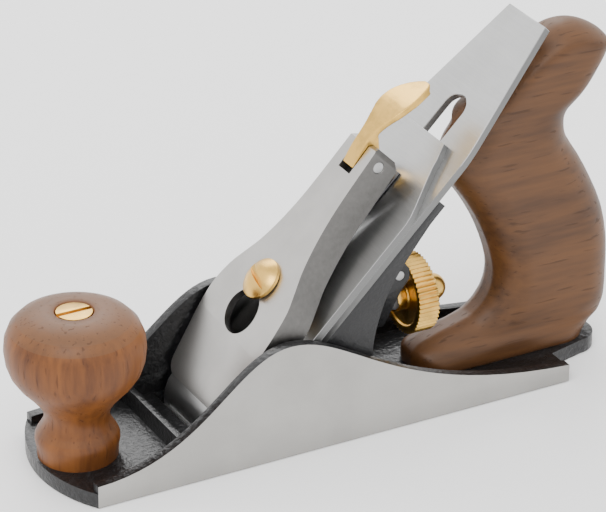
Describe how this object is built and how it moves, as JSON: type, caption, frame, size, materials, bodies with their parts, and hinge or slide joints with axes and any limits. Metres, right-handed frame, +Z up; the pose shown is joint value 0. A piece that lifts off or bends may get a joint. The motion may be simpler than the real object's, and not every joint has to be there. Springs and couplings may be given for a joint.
{
  "type": "bench hand plane",
  "caption": "Metal smoothing plane with a wooden knob and tote, a cast body, a sliding frog, a blade with chip breaker, a lever cap with cam lever, and a depth wheel that drives a yoke.",
  "frame": {"origin": "middle of the flat sole", "axes": "+X towards the heel, -X towards the toe, +Y across the sole, +Z up from the sole"},
  "size_m": [0.2592, 0.0636, 0.1462],
  "materials": {
    "painted_iron": "ground bright on the outside, black paint inside",
    "frog_iron": "black paint",
    "cap_iron": "satin nickel",
    "blade_steel": "finely ground",
    "steel": "turned",
    "dark_steel": "dull",
    "brass": "satin",
    "knob_wood": "oiled",
    "tote_wood": "oiled"
  },
  "bodies": {
    "body": {"body_casting": "painted_iron", "frog_screws": "steel", "frog_screw_washers": "steel", "knob": "knob_wood", "knob_rod": "steel", "knob_nut": "brass", "tote": "tote_wood", "tote_rod": "steel", "tote_nut": "brass", "tote_washer": "steel"},
    "frog": {"frog": "frog_iron", "frog_adjusting_plate": "steel", "plate_screw": "steel", "depth_stud": "steel", "yoke_pin": "steel", "lever_cap_screw": "brass", "lateral_pivot_rivet": "steel"},
    "frog_adjuster": {"frog_adjusting_screw": "steel"},
    "yoke": {"yoke": "dark_steel"},
    "collar": {"depth_collar": "brass"},
    "wheel": {"depth_wheel": "brass"},
    "iron": {"blade": "blade_steel", "chip_breaker": "blade_steel", "breaker_screw": "dark_steel"},
    "lateral": {"lateral_lever": "steel", "lateral_roller": "steel"},
    "cap": {"lever_cap": "cap_iron", "cap_spring": "dark_steel", "cap_spring_rivet": "steel", "cam_pin": "steel"},
    "cam": {"cam_lever": "brass"}
  },
  "joints": [
    {"name": "frog_slide", "type": "slide", "parent": "body", "child": "frog", "axis": [1, 0, 0], "range_m": [-0.00108, 0.00108]},
    {"name": "frog_screw_turn", "type": "hinge", "parent": "frog", "child": "frog_adjuster", "pos_m": [0, 0, 0.011], "axis": [1, 0, 0], "range_deg": [-540, 540]},
    {"name": "yoke_tilt", "type": "hinge", "parent": "frog", "child": "yoke", "pos_m": [0.029, 0, 0.053], "axis": [0, 1, 0], "range_deg": [-6.4, 6.4]},
    {"name": "collar_slide", "type": "slide", "parent": "frog", "child": "collar", "axis": [1, 0, 0], "range_m": [-0.0016, 0.0016]},
    {"name": "wheel_turn", "type": "hinge", "parent": "collar", "child": "wheel", "pos_m": [0.0397, 0, 0.0385], "axis": [1, 0, 0], "range_deg": [-530, 530]},
    {"name": "depth_slide", "type": "slide", "parent": "frog", "child": "iron", "axis": [0.7071, 0, 0.7071], "range_m": [-0.0026, 0.0026]},
    {"name": "lateral_swing", "type": "hinge", "parent": "frog", "child": "lateral", "pos_m": [0.03209, 0, 0.08344], "axis": [-0.7071, 0, 0.7071], "range_deg": [-5, 5]},
    {"name": "cap_release", "type": "slide", "parent": "frog", "child": "cap", "axis": [0.7071, 0, 0.7071], "range_m": [0, 0.0143]},
    {"name": "cam_swing", "type": "hinge", "parent": "cap", "child": "cam", "pos_m": [0.01915, 0, 0.10119], "axis": [0, -1, 0], "range_deg": [0, 85]}
  ],
  "couplings": [
    {"joint": "frog_screw_turn", "follows": "frog_slide", "rad_per_m": 8568},
    {"joint": "collar_slide", "follows": "depth_slide", "ratio": -0.58468},
    {"joint": "yoke_tilt", "follows": "depth_slide", "rad_per_m": 40.323},
    {"joint": "wheel_turn", "follows": "depth_slide", "rad_per_m": -3466.9}
  ]
}
